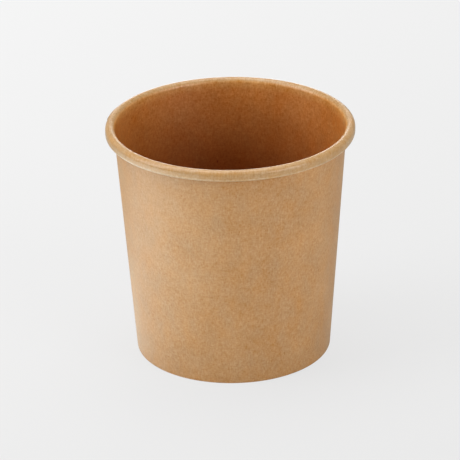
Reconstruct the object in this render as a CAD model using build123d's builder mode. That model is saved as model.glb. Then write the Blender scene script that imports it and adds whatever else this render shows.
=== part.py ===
from build123d import *
import os
from math import acos, asin, atan2, ceil, cos, degrees, radians, sin, tan

# A kraft paper soup bowl. A fan-shaped blank of board is wrapped into a cone and lapped at one seam.
# Its top edge is rolled outward into the rim, and its bottom edge is turned in and up, round the
# skirt of a round base that is set up inside the foot.
# Sizes are in millimetres and angles in degrees. +Z is up, and the origin is on the floor under the
# middle of the bowl.

# Overall sizes
rim_diameter = 98.0    # across the outside of the rolled rim
foot_diameter = 77.5   # across the outside of the foot
height = 95.2          # from the floor to the top of the rim

# Boards
wall_board = 0.45      # thickness of the side wall's board
base_board = 0.45      # thickness of the base's board
glue_gap = 0.05        # left between two boards that are glued together

# Rolled rim
roll_width = 3.75      # from the inside of the wall to the outside of the rim
roll_height = 4.8      # from the top of the rim to the underside of the roll

# Foot
hem_height = 5.0       # how high the turned-in edge stands above the floor
fold_radius = 0.35     # of the board's middle line at the two bends under the foot

# Base
base_recess = 6.0      # from the floor up to the underside of the base
base_bend = 0.8        # radius of the board's middle line where the base turns down into its skirt

# Bends are drawn in flats, and no flat lies deeper inside the true arc than this
outer_flat_depth = 0.185  # on the outer side of the bend
inner_flat_depth = 0.45   # on its inner side

# Lap seam
seam_angle = 170.0     # direction of the outer ply's cut edge, counted from +X towards +Y
lap_width = 8.0        # how far the outer ply reaches over the inner one, measured at the rim
lap_run_in = 6.0       # length over which the outer ply climbs onto the inner one, at the rim
lap_start = 0.03       # how far the outer ply stands out where that climb begins
rim_lap_rise = 0.2     # how far it stands out on the rim, where the roll is pressed


def heading(angle):
    """The unit vector at an angle in the plane of a section, where X is radial and Y is up."""
    return Vector(cos(radians(angle)), sin(radians(angle)))


def flat_turn(radius, turn, flat_depth):
    """The turn from one flat of a bend to the next."""
    widest = degrees(2 * acos(max(1 - flat_depth / radius, 0)))
    return turn / ceil(abs(turn) / widest)


def bend(start, angle, radius, turn, flat_depth):
    """Draw an arc from a point with a heading as a chain of flats."""
    arc = JernArc(start, heading(angle), radius, turn, mode=Mode.PRIVATE)
    flats = round(turn / flat_turn(radius, turn, flat_depth))
    return Polyline([arc @ (flat / flats) for flat in range(flats + 1)])


def folded_board(start, angle, steps, thickness):
    """Draw the section of a board that starts at a point with a heading and follows steps.
    A step is (length, 0) for a straight run, or (radius, turn) for a bend of the middle line."""
    ends = []
    for side in (thickness / 2, -thickness / 2):
        way = angle
        point = start + heading(way + 90) * side
        ends.append(point)
        for size, turn in steps:
            if turn == 0:
                edge = PolarLine(point, size, way)
            elif side * turn > 0:
                edge = bend(point, way, size - thickness / 2, turn, inner_flat_depth)
            else:
                edge = bend(point, way, size + thickness / 2, turn, outer_flat_depth)
            way += turn
            point = edge @ 1
        ends.append(point)
    Line(ends[0], ends[2])
    Line(ends[1], ends[3])


# The wall's middle line is straight. It leaves the outer bend of the foot and meets the roll of the
# rim, and it touches both arcs, which lie on opposite sides of it.
rim_radius = rim_diameter / 2
foot_radius = foot_diameter / 2
roll_radius = (roll_width - wall_board) / 2
roll_centre = Vector(rim_radius - wall_board / 2 - roll_radius, height - wall_board / 2 - roll_radius)
fold_centre = Vector(foot_radius - wall_board / 2 - fold_radius, wall_board / 2 + fold_radius)
across = roll_centre - fold_centre
wall_angle = degrees(atan2(across.Y, across.X) + asin((roll_radius + fold_radius) / across.length))
lean = 90 - wall_angle
wall_foot = fold_centre + heading(wall_angle - 90) * fold_radius
wall_top = roll_centre + heading(wall_angle + 90) * roll_radius


def wall_radius(z):
    """The radius of the wall's middle line at a height."""
    return wall_foot.X + (z - wall_foot.Y) * tan(radians(lean))


# The hem runs parallel to the wall, with room between them for the skirt of the base.
hem_offset = base_board + 2 * glue_gap + wall_board
foot_flat = (hem_offset - 2 * fold_radius) / cos(radians(lean))
hem_fold = Vector(fold_centre.X - foot_flat, fold_centre.Y) + heading(wall_angle + 90) * fold_radius
hem_length = (hem_height - hem_fold.Y) / cos(radians(lean))
hem_top = hem_fold + heading(wall_angle) * hem_length

# The lower bend of the roll brings the edge back to the outside of the wall, where it ends.
roll_corner = Vector(rim_radius - wall_board / 2, height - roll_height + wall_board / 2)
corner_from_wall = (roll_corner - wall_top).dot(heading(wall_angle - 90))
tuck_radius = (corner_from_wall - wall_board - glue_gap) / (1 + cos(radians(lean)) + sin(radians(lean)))
tuck_centre = roll_corner + Vector(-tuck_radius, tuck_radius)
roll_side = roll_centre.Y - tuck_centre.Y

wall_steps = [
    (hem_length, 0),
    (fold_radius, 90 + lean),
    (foot_flat, 0),
    (fold_radius, 90 - lean),
    ((wall_top - wall_foot).length, 0),
    (roll_radius, lean - 180),
    (roll_side, 0),
    (tuck_radius, -180 - lean),
]

# Where the board laps over itself, the outer ply stands one board outside the rest of the wall.
lap_rise = wall_board + glue_gap
lap_angle = degrees(lap_width / rim_radius)
run_in_angle = degrees(lap_run_in / rim_radius)


def radial_plane(angle):
    """The upright plane through the axis at an angle, with local X pointing outward."""
    return Plane.XZ.rotated((0, 0, angle))


def lap_on_wall(angle, rise):
    """The section of the outer ply on the wall, from the foot's bend up into the roll."""
    low, high = fold_centre.Y, tuck_centre.Y
    face_offset = wall_board / 2 / cos(radians(lean)) + rise
    with BuildSketch(radial_plane(angle)) as section:
        with BuildLine():
            Polyline(
                (wall_radius(low), low),
                (wall_radius(low) + face_offset, low),
                (wall_radius(high) + face_offset, high),
                (wall_radius(high), high),
                close=True,
            )
        make_face()
    return section.sketch


def lap_on_rim(angle, rise):
    """The section of the outer ply on the roll: two flats of its top, its side and one flat below."""
    top_radius = roll_radius + wall_board / 2
    low_radius = tuck_radius + wall_board / 2
    top_flat = flat_turn(top_radius, lean - 180, outer_flat_depth)
    low_flat = flat_turn(low_radius, -180 - lean, outer_flat_depth)
    top_corners = [roll_centre + heading(-flat * top_flat) * top_radius for flat in (2, 1, 0)]
    low_corners = [tuck_centre + heading(flat * low_flat) * low_radius for flat in (0, 1)]
    with BuildSketch(radial_plane(angle)) as section:
        with BuildLine():
            Polyline([corner + Vector(rise, 0) for corner in top_corners + low_corners], close=True)
        make_face()
        with BuildLine():
            top_arc = CenterArc(roll_centre, roll_radius, 0, 180)
            low_arc = CenterArc(tuck_centre, tuck_radius, 180, 180)
            Line(low_arc @ 1, top_arc @ 0)
            Line(top_arc @ 1, low_arc @ 0)
        make_face(mode=Mode.SUBTRACT)
    return section.sketch


with BuildPart() as side_wall:
    with BuildSketch(Plane.XZ):
        with BuildLine():
            folded_board(hem_top, wall_angle + 180, wall_steps, wall_board)
        make_face()
    revolve(axis=Axis.Z)
    for lap_section, rise in ((lap_on_wall, lap_rise), (lap_on_rim, rim_lap_rise)):
        full_ply = lap_section(seam_angle - lap_angle, rise)
        revolve(full_ply, axis=Axis.Z, revolution_arc=lap_angle)
        loft([lap_section(seam_angle - lap_angle - run_in_angle, lap_start), full_ply], ruled=True)
side_wall.part.label = "side_wall"

# The base is a disc whose edge turns down into a skirt that follows the inside of the wall.
base_middle = base_recess + base_board / 2
skirt_offset = (wall_board + base_board) / 2 + glue_gap
skirt_bend_run = base_bend * tan(radians(90 + lean) / 2)
skirt_corner = wall_radius(base_middle) - skirt_offset / cos(radians(lean))
skirt_end = fold_centre.Y + glue_gap
skirt_length = (base_middle - skirt_end) / cos(radians(lean)) - skirt_bend_run

with BuildPart() as base_disc:
    with BuildSketch(Plane.XZ):
        with BuildLine():
            folded_board(
                Vector(0, base_middle),
                0,
                [(skirt_corner - skirt_bend_run, 0), (base_bend, -90 - lean), (skirt_length, 0)],
                base_board,
            )
        make_face()
    revolve(axis=Axis.Z)
base_disc.part.label = "base_disc"

os.makedirs("parts", exist_ok=True)
export_step(side_wall.part, "parts/side_wall.step")
export_step(base_disc.part, "parts/base_disc.step")
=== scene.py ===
from math import asin, atan2, cos, degrees, radians, sin, tan

import bmesh
import bpy
import numpy as np
from mathutils import Matrix, Vector


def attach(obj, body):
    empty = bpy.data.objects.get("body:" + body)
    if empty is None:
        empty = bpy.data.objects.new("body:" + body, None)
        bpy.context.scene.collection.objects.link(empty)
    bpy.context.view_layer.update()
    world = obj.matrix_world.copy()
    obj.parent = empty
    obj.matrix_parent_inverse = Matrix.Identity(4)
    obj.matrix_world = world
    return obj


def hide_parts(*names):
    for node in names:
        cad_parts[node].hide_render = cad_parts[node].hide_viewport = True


# A kraft paper soup bowl on a pale floor. The wall and the base are drawn again from the sizes of
# the part, with round bends, so that the rolled rim and the folded foot shine as smooth board does.
# Sizes of the boards and of their pattern are in millimetres, and angles are in degrees. Heights in
# the colours, the floor, the lights and the camera are in metres. Colours are linear.

MM = 0.001

# Overall sizes, boards, rim, foot and base, as in the part
RIM_DIAMETER = 98.0
FOOT_DIAMETER = 77.5
HEIGHT = 95.2
BOARD = 0.45
GLUE_GAP = 0.05
ROLL_WIDTH = 3.75
ROLL_HEIGHT = 4.8
HEM_HEIGHT = 5.0
FOLD_RADIUS = 0.35
BASE_RECESS = 6.0
BASE_BEND = 0.8

# Lap seam, as in the part
SEAM_ANGLE = 170.0
RIM_LAP_RISE = 0.2
LAP_WIDTH = 8.0
LAP_RUN_IN = 6.0
SEAM_EDGE = 0.02       # turn over which the outer ply's cut edge drops back to the wall

# The roll is pressed lower by this much at the front, and not at all at the back
ROLL_SETTLE = 0.4

# Fineness of the meshes
COLUMNS = 360          # round the bowl
BEND_STEP = 8.0        # turn of one facet in a bend
RUN_STEP = 4.0         # length of one facet in a straight run
RUN_END = 0.25         # short facet at each end of a run, which keeps its shading straight
SHARP_ANGLE = 30.0     # edges that turn more than this aren't smoothed
ON_AXIS = 1e-9         # a section that starts this close to the axis starts on it
SAME_PLACE = 1e-7      # metres within which corners on the axis are joined

# Slots of the meshes
OUTSIDE, INSIDE, ROLLED = 0, 1, 2

# The kraft's pattern lies on the flat blank: round the bowl and along the board on the wall, and
# right and back on the base. A field has its stretch in those two ways and from one face to the
# other, and then the noise's scale, detail and roughness.
FACE_STEP = 40.0       # distance in the pattern between the two faces of a board
CLOUD = ((1.0, 1.0, 1.0), 0.07, 2.0, 0.5)
MOTTLE = ((1.0, 1.0, 1.0), 0.45, 3.0, 0.6)
UP_FIBRE = ((1.5, 0.6, 1.0), 1.0, 2.0, 0.6)
CROSS_FIBRE = ((0.75, 1.4, 1.0), 1.0, 2.0, 0.6)
WARMTH = ((0.16, 0.10, 1.0), 1.0, 2.0, 0.5)
SPECK = ((0.9, 0.45, 1.0), 0.9, 1.0, 0.5)
NOISE_MIDDLE = 0.5

# How strongly each field changes the tone, and where a speck begins and is full
CLOUD_TONE = 0.16
MOTTLE_TONE = 0.22
UP_FIBRE_TONE = 0.34
CROSS_FIBRE_TONE = 0.28
SPECK_RANGE = (0.76, 0.80)
SPECK_TONE = 0.18

# How the paper's red, green and blue follow its tone and its warmer patches
TONE_BY_CHANNEL = (1.0, 1.8, 3.8)
WARMTH_BY_CHANNEL = (0.16, -0.10, -0.75)

# Relief and gloss of the paper
UP_FIBRE_RELIEF = 0.6
CROSS_FIBRE_RELIEF = 0.4
BUMP_STRENGTH = 0.5
GLOSS_SPREAD = 0.15    # how far the mottling changes the roughness
PAPER_IOR = 1.5

# Each board's roughness, depth of relief in millimetres and strength of pattern
OUTSIDE_FINISH = (0.50, 0.06, 1.32)
LINED_FINISH = (0.38, 0.04, 1.80)
ROLLED_FINISH = (0.34, 0.05, 1.25)
BASE_FINISH = (0.45, 0.04, 1.5)

# Paper colours and the heights between which one passes into the next, with painted shade low in the
# bowl, painted light near the rim and a painted highlight as a paler line round the roll's lower edge
OUTSIDE_COLOUR = (0.36, 0.184, 0.062, 1.0)
BASE_COLOUR = (0.40, 0.165, 0.040, 1.0)
# Painted shade: the lined side turns to this darker colour low in the bowl
INSIDE_PAINTED_SHADE_COLOUR = (0.225, 0.055, 0.0075, 1.0)
INSIDE_HIGH_COLOUR = (0.405, 0.143, 0.0285, 1.0)
# Painted light: the lined side turns to this brighter colour near the rim
INSIDE_PAINTED_RIM_LIGHT_COLOUR = (0.51, 0.238, 0.063, 1.0)
ROLLED_COLOUR = (0.355, 0.203, 0.079, 1.0)
# Painted highlight: a paler line round the roll's lower edge
ROLL_EDGE_PAINTED_HIGHLIGHT_COLOUR = (0.40, 0.26, 0.13, 1.0)
# The painted shade low in the bowl fades out between the first two heights, and the painted light near the
# rim comes in between the next two
INSIDE_PAINTED_SHADE_DEPTHS = (0.054, 0.090)
INSIDE_PAINTED_RIM_LIGHT_BLEND = (0.0905, 0.0942)
ROLL_BLEND = (0.0938, 0.0947)
# Height and reach of the painted highlight on the roll's lower edge
ROLL_EDGE_PAINTED_HIGHLIGHT_HEIGHT = 0.0912
ROLL_EDGE_PAINTED_HIGHLIGHT_REACH = 0.0006

# Floor. The camera sees mostly a glow that grows towards the back left, and glossy reflections see
# a bright patch in front of the bowl on the left.
FLOOR_SIZE = 8.0
FLOOR_COLOUR = (0.90, 0.90, 0.90, 1.0)
FLOOR_GLOW_SHARE = 0.92
FLOOR_GLOW_COLOUR = (1.0, 1.0, 1.0, 1.0)
FLOOR_FADE_WAY = (-0.7, 0.7, 0.0)
FLOOR_FADE_REACH = 0.35
FLOOR_FADE = (0.725, 0.865)
FLOOR_SHEEN_COLOUR = (0.84, 1.04, 1.10, 1.0)
FLOOR_SHEEN_MIDDLE = (-0.185, -0.085, 0.0)
FLOOR_SHEEN_REACH = (0.05, 0.20)
FLOOR_SHEEN = (5.3, 0.54)

# Light from all round: its level at the horizon and below, and its level straight above
WORLD_COLOUR = (1.0, 1.0, 1.0, 1.0)
WORLD_LOW_LEVEL = 0.30
WORLD_HIGH_LEVEL = 0.55

# Square lights: name, place, height aimed at on the axis, size and power in watts
LIGHTS = (
    ("key", (-1.5, -0.34, 0.8), 0.05, 1.0, 16.0),
    ("fill", (1.2, -1.0, 0.55), 0.05, 0.9, 14.2),
    ("back", (0.0, 1.4, 0.17), 0.09, 0.5, 4.0),
    ("top_back", (0.0, 0.35, 1.3), 0.09, 0.8, 9.5),
    ("top_left", (-0.65, -0.05, 1.2), 0.09, 0.8, 7.5),
)

# Camera: it stands in front of the bowl, looks down on it and is rolled a little
CAMERA_PLACE = (0.0, -1.21586, 0.59966)
CAMERA_AIM = (-0.00078, 0.00134, 0.04810)
CAMERA_ROLL = -0.995
CAMERA_LENS = 263.0
SENSOR_WIDTH = 36.0


def heading(angle):
    """The unit vector at an angle in the plane of a section, radius first and height second."""
    return np.array((cos(radians(angle)), sin(radians(angle))))


def along_run(point, way, length, normal):
    """Rings on a straight run of board, as (point, normal, distance from its start)."""
    inner = length - 2 * RUN_END
    if inner <= 0:
        stops = [0.0, length]
    else:
        count = max(1, round(inner / RUN_STEP))
        stops = [0.0] + [RUN_END + inner * i / count for i in range(count + 1)] + [length]
    return [(point + heading(way) * stop, normal, stop) for stop in stops]


def along_bend(point, way, radius, turn, side):
    """Rings on the face of a board that is bent with that radius of its middle line."""
    swing = 1 if turn > 0 else -1
    centre = point + heading(way + 90 * swing) * (radius - side * swing)
    count = max(2, round(abs(turn) / BEND_STEP))
    rings = []
    for i in range(count + 1):
        now = way + turn * i / count
        place = centre + heading(now - 90 * swing) * (radius - side * swing)
        rings.append((place, heading(now + 90 * np.sign(side)), radians(abs(turn)) * radius * i / count))
    return rings


def board_face(start, angle, steps, side):
    """Rings on one face of a folded board, as (point, normal, distance along the board)."""
    way = angle
    point = start + heading(way + 90) * side
    normal_turn = 90 * np.sign(side)
    rings = []
    gone = 0.0
    for size, turn in steps:
        if turn == 0:
            piece = along_run(point, way, size, heading(way + normal_turn))
        else:
            piece = along_bend(point, way, size, turn, side)
        rings += [(p, n, gone + d) for p, n, d in piece[(1 if rings else 0):]]
        point = piece[-1][0]
        gone += piece[-1][2]
        way += turn
    return rings


# The wall's section, worked out as in the part
rim_radius = RIM_DIAMETER / 2
foot_radius = FOOT_DIAMETER / 2
roll_radius = (ROLL_WIDTH - BOARD) / 2
roll_centre = np.array((rim_radius - BOARD / 2 - roll_radius, HEIGHT - BOARD / 2 - roll_radius))
fold_centre = np.array((foot_radius - BOARD / 2 - FOLD_RADIUS, BOARD / 2 + FOLD_RADIUS))
across = roll_centre - fold_centre
cross_turn = asin((roll_radius + FOLD_RADIUS) / np.hypot(*across))
wall_angle = degrees(atan2(across[1], across[0]) + cross_turn)
lean = 90 - wall_angle
wall_foot = fold_centre + heading(wall_angle - 90) * FOLD_RADIUS
wall_top = roll_centre + heading(wall_angle + 90) * roll_radius
hem_offset = 2 * BOARD + 2 * GLUE_GAP
foot_flat = (hem_offset - 2 * FOLD_RADIUS) / cos(radians(lean))
hem_fold = fold_centre - (foot_flat, 0) + heading(wall_angle + 90) * FOLD_RADIUS
hem_length = (HEM_HEIGHT - hem_fold[1]) / cos(radians(lean))
hem_top = hem_fold + heading(wall_angle) * hem_length
roll_corner = np.array((rim_radius - BOARD / 2, HEIGHT - ROLL_HEIGHT + BOARD / 2))
corner_from_wall = float((roll_corner - wall_top) @ heading(wall_angle - 90))
tuck_radius = (corner_from_wall - BOARD - GLUE_GAP) / (1 + cos(radians(lean)) + sin(radians(lean)))
tuck_centre = roll_corner + (-tuck_radius, tuck_radius)
roll_side = roll_centre[1] - tuck_centre[1]

WALL_STEPS = [
    (hem_length, 0),
    (FOLD_RADIUS, 90 + lean),
    (foot_flat, 0),
    (FOLD_RADIUS, 90 - lean),
    (float(np.hypot(*(wall_top - wall_foot))), 0),
    (roll_radius, lean - 180),
    (roll_side, 0),
    (tuck_radius, -180 - lean),
]

lap_rise = BOARD + GLUE_GAP
lap_angle = degrees(LAP_WIDTH / rim_radius)
run_in_angle = degrees(LAP_RUN_IN / rim_radius)


def wall_radius(z):
    """The radius of the wall's middle line at a height."""
    return wall_foot[0] + (z - wall_foot[1]) * tan(radians(lean))


# The base's section: its edge turns down into a skirt that follows the inside of the wall
base_middle = BASE_RECESS + BOARD / 2
skirt_offset = BOARD + GLUE_GAP
skirt_bend_run = BASE_BEND * tan(radians(90 + lean) / 2)
skirt_corner = wall_radius(base_middle) - skirt_offset / cos(radians(lean))
skirt_end = fold_centre[1] + GLUE_GAP
skirt_length = (base_middle - skirt_end) / cos(radians(lean)) - skirt_bend_run

BASE_STEPS = [
    (skirt_corner - skirt_bend_run, 0),
    (BASE_BEND, -90 - lean),
    (skirt_length, 0),
]


def ply_share(turn_back):
    """The share of its full rise that the outer ply has, by the turn back from its cut edge."""
    if turn_back <= lap_angle:
        return 1.0
    return max(0.0, 1 - (turn_back - lap_angle) / run_in_angle)


def full_rise(point, normal):
    """How far the outer ply stands out at a place on the wall's section, where it lies fully on it."""
    from_middle = point[0] - wall_radius(point[1])
    if 0 < from_middle < BOARD and point[1] > fold_centre[1]:
        return lap_rise if point[1] < tuck_centre[1] else 0.0
    if point[1] <= fold_centre[1]:
        return lap_rise * max(0.0, normal[0]) if point[0] > fold_centre[0] else 0.0
    outside_roll = point[1] > roll_centre[1] and np.hypot(*(point - roll_centre)) > roll_radius
    outside_tuck = point[1] < tuck_centre[1] and np.hypot(*(point - tuck_centre)) > tuck_radius
    beside_roll = point[0] > rim_radius - BOARD / 2
    return RIM_LAP_RISE if normal[0] > 0 and (outside_roll or outside_tuck or beside_roll) else 0.0


def settled(point, turn):
    """How far a place on the roll stands below its even height, by the direction round the bowl."""
    low = HEIGHT - ROLL_HEIGHT
    up = min(1.0, max(0.0, (point[1] - low) / ROLL_HEIGHT))
    return ROLL_SETTLE * up * (1 - sin(turn)) / 2


def slot_of(ring, left_count, middle):
    """The slot of a face. The lined side looks into the bowl, and the roll turns it outward."""
    if ring >= left_count - 1:
        return OUTSIDE
    on_roll = middle[1] > wall_top[1] or middle[0] > wall_radius(middle[1]) + BOARD
    return ROLLED if on_roll and middle[0] > roll_centre[0] else INSIDE


def turned_corners(rings, lapped, on_axis):
    """The corners of a section turned about the axis, column by column, and their blank coordinates."""
    backs = [360.0 * k / COLUMNS for k in range(COLUMNS)] + [360.0 - SEAM_EDGE]
    corners = []
    blank = []
    for back in backs:
        turn = radians(SEAM_ANGLE - back)
        share = ply_share(back) if lapped else 0.0
        for point, normal, distance, face in rings:
            radius = point[0] + share * full_rise(point, normal)
            place = (radius * cos(turn), radius * sin(turn), point[1] - settled(point, turn))
            corners.append([c * MM for c in place])
            on_blank = place[:2] if on_axis else (radians(back) * rim_radius, distance)
            blank.append((*on_blank, FACE_STEP * face))
    return corners, blank, len(backs)


def join_on_axis(mesh):
    """Make the corners that all lie in one place on the axis one corner."""
    work = bmesh.new()
    work.from_mesh(mesh)
    bmesh.ops.remove_doubles(work, verts=work.verts, dist=SAME_PLACE)
    work.to_mesh(mesh)
    work.free()


def build_board(name, start, angle, steps, lapped, materials):
    """A mesh object of a folded board turned about the axis."""
    left = board_face(start, angle, steps, BOARD / 2)
    right = board_face(start, angle, steps, -BOARD / 2)
    rings = [(p, n, d, 0) for p, n, d in left] + [(p, n, d, 1) for p, n, d in reversed(right)]
    on_axis = abs(start[0]) < ON_AXIS
    corners, blank, columns = turned_corners(rings, lapped, on_axis)
    count = len(rings)
    faces = []
    slots = []
    for column in range(columns):
        here = column * count
        there = ((column + 1) % columns) * count
        for ring in range(count):
            after = (ring + 1) % count
            if on_axis and after == 0:
                continue
            faces.append((here + ring, there + ring, there + after, here + after))
            slots.append(slot_of(ring, len(left), (rings[ring][0] + rings[after][0]) / 2))
    mesh = bpy.data.meshes.new(name)
    mesh.from_pydata(corners, [], faces)
    for material in materials:
        mesh.materials.append(material)
    mesh.polygons.foreach_set("material_index", slots)
    mesh.polygons.foreach_set("use_smooth", [True] * len(faces))
    attribute = mesh.attributes.new("blank", "FLOAT_VECTOR", "POINT")
    attribute.data.foreach_set("vector", [c for row in blank for c in row])
    if on_axis:
        join_on_axis(mesh)
    mesh.update()
    mesh.set_sharp_from_angle(angle=radians(SHARP_ANGLE))
    piece = bpy.data.objects.new(name, mesh)
    bpy.context.scene.collection.objects.link(piece)
    return piece


class Nodes:
    """A material's node tree, with short calls for the nodes that the paper and the floor need."""

    def __init__(self, name):
        self.material = bpy.data.materials.new(name)
        self.material.use_nodes = True
        self.tree = self.material.node_tree
        self.tree.nodes.clear()

    def add(self, kind, settings=(), **inputs):
        """Add a node, set its options and fill its inputs with values or links. An input is named by
        its socket, with _ for a space, or by i and its number."""
        made = self.tree.nodes.new(kind)
        for key, value in dict(settings).items():
            setattr(made, key, value)
        for key, value in inputs.items():
            numbered = key[0] == "i" and key[1:].isdigit()
            socket = made.inputs[int(key[1:]) if numbered else key.replace("_", " ")]
            if isinstance(value, bpy.types.NodeSocket):
                self.tree.links.new(value, socket)
            else:
                socket.default_value = value
        return made

    def maths(self, operation, first, second=0.0, third=0.0):
        """One step of arithmetic."""
        made = self.add("ShaderNodeMath", {"operation": operation}, i0=first, i1=second, i2=third)
        return made.outputs[0]

    def vector(self, operation, first, second):
        """One step of arithmetic on vectors."""
        made = self.add("ShaderNodeVectorMath", {"operation": operation}, i0=first, i1=second)
        return made.outputs[0]

    def scaled(self, vector, factor):
        """A vector times a number."""
        made = self.add("ShaderNodeVectorMath", {"operation": "SCALE"}, i0=vector, Scale=factor)
        return made.outputs[0]

    def ramp(self, value, low, high, to_low=0.0, to_high=1.0):
        """A clamped linear change of range."""
        made = self.add("ShaderNodeMapRange", {"clamp": True}, i0=value, i1=low, i2=high)
        made.inputs[3].default_value = to_low
        made.inputs[4].default_value = to_high
        return made.outputs[0]

    def blend(self, share, first, second):
        """A colour that passes from the first to the second."""
        made = self.add("ShaderNodeMix", {"data_type": "RGBA"}, i0=share, i6=first, i7=second)
        return made.outputs[2]

    def field(self, place, stretch, scale, detail, roughness):
        """A noise field around NOISE_MIDDLE."""
        spread = self.vector("MULTIPLY", place, stretch)
        made = self.add("ShaderNodeTexNoise", {}, Vector=spread, Scale=scale)
        made.inputs["Detail"].default_value = detail
        made.inputs["Roughness"].default_value = roughness
        return made.outputs[0]

    def height(self):
        """The height above the floor, in metres."""
        place = self.add("ShaderNodeTexCoord").outputs["Object"]
        return self.add("ShaderNodeSeparateXYZ", {}, i0=place).outputs[2]

    def off_middle(self, field):
        """A noise field moved to lie around zero."""
        return self.maths("SUBTRACT", field, NOISE_MIDDLE)


def lined_colour(nodes):
    """The lined side: painted shade that darkens it low in the bowl, painted light that brightens it near the
    rim, and the roll's colour at the top.
    """
    height = nodes.height()
    # Painted shade, darker low in the bowl
    colour = nodes.blend(nodes.ramp(height, *INSIDE_PAINTED_SHADE_DEPTHS), INSIDE_PAINTED_SHADE_COLOUR, INSIDE_HIGH_COLOUR)
    # Painted light, brighter near the rim
    colour = nodes.blend(nodes.ramp(height, *INSIDE_PAINTED_RIM_LIGHT_BLEND), colour, INSIDE_PAINTED_RIM_LIGHT_COLOUR)
    return nodes.blend(nodes.ramp(height, *ROLL_BLEND), colour, ROLLED_COLOUR)


def rolled_colour(nodes):
    """The roll, with a painted highlight as a paler line round its lower edge."""
    from_edge = nodes.maths("ABSOLUTE", nodes.maths("SUBTRACT", nodes.height(), ROLL_EDGE_PAINTED_HIGHLIGHT_HEIGHT))
    # Painted highlight along the roll's lower edge
    highlight_share = nodes.ramp(from_edge, 0.0, ROLL_EDGE_PAINTED_HIGHLIGHT_REACH, 1.0, 0.0)
    return nodes.blend(highlight_share, ROLLED_COLOUR, ROLL_EDGE_PAINTED_HIGHLIGHT_COLOUR)


def kraft(name, colour, finish):
    """Brown kraft board: clouded pulp, fibres both ways, a few dark specks and a slightly rough face.
    The colour is four numbers, or a function that makes it from the nodes."""
    roughness, relief, strength = finish
    nodes = Nodes(name)
    plain = colour(nodes) if callable(colour) else colour[:3]
    blank = nodes.add("ShaderNodeAttribute", {"attribute_name": "blank"}).outputs["Vector"]
    cloud = nodes.field(blank, *CLOUD)
    mottle = nodes.field(blank, *MOTTLE)
    up_fibre = nodes.field(blank, *UP_FIBRE)
    cross_fibre = nodes.field(blank, *CROSS_FIBRE)
    warmth = nodes.field(blank, *WARMTH)
    speck = nodes.field(blank, *SPECK)

    tone = nodes.maths("MULTIPLY", nodes.off_middle(cloud), CLOUD_TONE)
    tone = nodes.maths("MULTIPLY_ADD", nodes.off_middle(mottle), MOTTLE_TONE, tone)
    tone = nodes.maths("MULTIPLY_ADD", nodes.off_middle(up_fibre), UP_FIBRE_TONE, tone)
    tone = nodes.maths("MULTIPLY_ADD", nodes.off_middle(cross_fibre), CROSS_FIBRE_TONE, tone)
    tone = nodes.maths("SUBTRACT", tone, nodes.ramp(speck, *SPECK_RANGE, 0.0, SPECK_TONE))
    shift = nodes.scaled(TONE_BY_CHANNEL, nodes.maths("MULTIPLY", tone, strength))
    warmer = nodes.scaled(WARMTH_BY_CHANNEL, nodes.off_middle(warmth))
    change = nodes.vector("ADD", nodes.vector("ADD", shift, warmer), (1.0, 1.0, 1.0))
    board = nodes.vector("MULTIPLY", plain, change)

    up_relief = nodes.maths("MULTIPLY", up_fibre, UP_FIBRE_RELIEF)
    cross_relief = nodes.maths("MULTIPLY", cross_fibre, CROSS_FIBRE_RELIEF)
    face = nodes.maths("ADD", up_relief, cross_relief)
    bump = nodes.add("ShaderNodeBump", {}, Strength=BUMP_STRENGTH, Distance=relief * MM, Height=face)
    rough = nodes.maths("MULTIPLY_ADD", nodes.off_middle(mottle), GLOSS_SPREAD, roughness)
    shader = nodes.add("ShaderNodeBsdfPrincipled", {}, Base_Color=board, Roughness=rough, IOR=PAPER_IOR)
    nodes.tree.links.new(bump.outputs[0], shader.inputs["Normal"])
    nodes.add("ShaderNodeOutputMaterial", {}, Surface=shader.outputs[0])
    return nodes.material


def floor_material():
    """A pale sheet that the camera sees evenly lit, with part of the bowl's shadow."""
    nodes = Nodes("floor_sheet")
    path = nodes.add("ShaderNodeLightPath")
    place = nodes.add("ShaderNodeTexCoord").outputs["Object"]
    across_view = nodes.add("ShaderNodeVectorMath", {"operation": "DOT_PRODUCT"}, i0=place, i1=FLOOR_FADE_WAY)
    fade = nodes.ramp(across_view.outputs["Value"], -FLOOR_FADE_REACH, FLOOR_FADE_REACH, *FLOOR_FADE)
    away = nodes.add("ShaderNodeVectorMath", {"operation": "DISTANCE"}, i0=place, i1=FLOOR_SHEEN_MIDDLE)
    sheen = nodes.ramp(away.outputs["Value"], *FLOOR_SHEEN_REACH, *FLOOR_SHEEN)
    glossy = path.outputs["Is Glossy Ray"]
    level = nodes.add("ShaderNodeMix", {"data_type": "FLOAT"}, i0=glossy, i2=fade, i3=sheen).outputs[0]
    tint = nodes.blend(glossy, FLOOR_GLOW_COLOUR, FLOOR_SHEEN_COLOUR)
    seen = nodes.maths("MULTIPLY", path.outputs["Is Camera Ray"], FLOOR_GLOW_SHARE)
    share = nodes.maths("MAXIMUM", seen, glossy)
    sheet = nodes.add("ShaderNodeBsdfDiffuse", {}, Color=FLOOR_COLOUR)
    glow = nodes.add("ShaderNodeEmission", {}, Color=tint, Strength=level)
    mixed = nodes.add("ShaderNodeMixShader", {}, i0=share, i1=sheet.outputs[0], i2=glow.outputs[0])
    nodes.add("ShaderNodeOutputMaterial", {}, Surface=mixed.outputs[0])
    return nodes.material


def add_floor():
    """The floor plane under the bowl."""
    half = FLOOR_SIZE / 2
    corners = [(-half, -half, 0), (half, -half, 0), (half, half, 0), (-half, half, 0)]
    mesh = bpy.data.meshes.new("floor")
    mesh.from_pydata(corners, [], [(0, 1, 2, 3)])
    mesh.materials.append(floor_material())
    floor = bpy.data.objects.new("floor", mesh)
    bpy.context.scene.collection.objects.link(floor)


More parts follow.
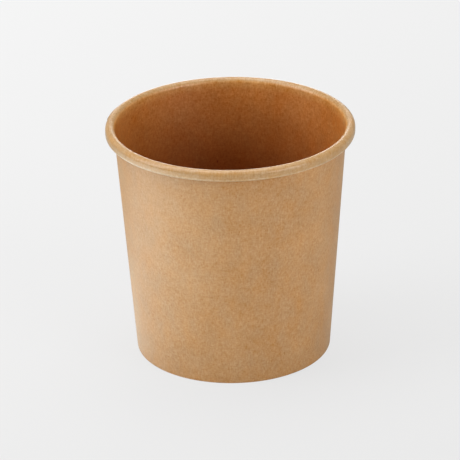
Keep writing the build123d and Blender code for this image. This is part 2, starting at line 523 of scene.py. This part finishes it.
def add_light(name, place, aim_height, size, power):
    """A square soft light that is aimed at the bowl's axis."""
    lamp = bpy.data.lights.new(name, "AREA")
    lamp.shape = "SQUARE"
    lamp.size = size
    lamp.energy = power
    holder = bpy.data.objects.new(name, lamp)
    way = Vector((0.0, 0.0, aim_height)) - Vector(place)
    holder.matrix_world = Matrix.Translation(place) @ way.to_track_quat("-Z", "Y").to_matrix().to_4x4()
    bpy.context.scene.collection.objects.link(holder)


def light_scene():
    """A low light from all round, which grows towards straight above, and the square soft lights."""
    world = bpy.data.worlds.new("studio")
    world.use_nodes = True
    tree = world.node_tree
    backdrop = tree.nodes["Background"]
    way = tree.nodes.new("ShaderNodeTexCoord")
    parts = tree.nodes.new("ShaderNodeSeparateXYZ")
    level = tree.nodes.new("ShaderNodeMapRange")
    level.inputs["To Min"].default_value = WORLD_LOW_LEVEL
    level.inputs["To Max"].default_value = WORLD_HIGH_LEVEL
    tree.links.new(way.outputs["Generated"], parts.inputs[0])
    tree.links.new(parts.outputs["Z"], level.inputs["Value"])
    tree.links.new(level.outputs[0], backdrop.inputs["Strength"])
    backdrop.inputs["Color"].default_value = WORLD_COLOUR
    bpy.context.scene.world = world
    for light in LIGHTS:
        add_light(*light)


def place_camera():
    """The photograph's camera."""
    place = Vector(CAMERA_PLACE)
    forward = (Vector(CAMERA_AIM) - place).normalized()
    level_right = forward.cross(Vector((0, 0, 1))).normalized()
    level_up = level_right.cross(forward)
    roll = radians(CAMERA_ROLL)
    right = level_right * cos(roll) + level_up * sin(roll)
    up = level_up * cos(roll) - level_right * sin(roll)
    data = bpy.data.cameras.new("camera")
    data.lens = CAMERA_LENS
    data.sensor_width = SENSOR_WIDTH
    camera = bpy.data.objects.new("camera", data)
    turned = Matrix((right, up, -forward)).transposed().to_4x4()
    camera.matrix_world = Matrix.Translation(place) @ turned
    bpy.context.scene.collection.objects.link(camera)
    bpy.context.scene.camera = camera


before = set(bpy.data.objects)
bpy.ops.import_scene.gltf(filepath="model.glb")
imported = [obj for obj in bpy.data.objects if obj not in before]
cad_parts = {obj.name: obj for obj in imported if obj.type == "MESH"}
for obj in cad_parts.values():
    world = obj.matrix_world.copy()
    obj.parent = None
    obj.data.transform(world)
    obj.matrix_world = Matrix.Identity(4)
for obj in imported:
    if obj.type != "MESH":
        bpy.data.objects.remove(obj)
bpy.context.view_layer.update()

outside = kraft("kraft_outside", OUTSIDE_COLOUR, OUTSIDE_FINISH)
lined = kraft("kraft_lined", lined_colour, LINED_FINISH)
rolled = kraft("kraft_rolled", rolled_colour, ROLLED_FINISH)
lined_base = kraft("kraft_lined_base", BASE_COLOUR, BASE_FINISH)

wall = build_board("wall", hem_top, wall_angle + 180, WALL_STEPS, True, (outside, lined, rolled))
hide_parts("side_wall")
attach(wall, "root")

# The whole upper face of the base is lined, so both of its lined slots hold one material
base_start = np.array((0.0, base_middle))
base = build_board("base", base_start, 0, BASE_STEPS, False, (outside, lined_base, lined_base))
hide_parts("base_disc")
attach(base, "root")

add_floor()
light_scene()
place_camera()
bpy.context.scene.view_settings.view_transform = "Standard"
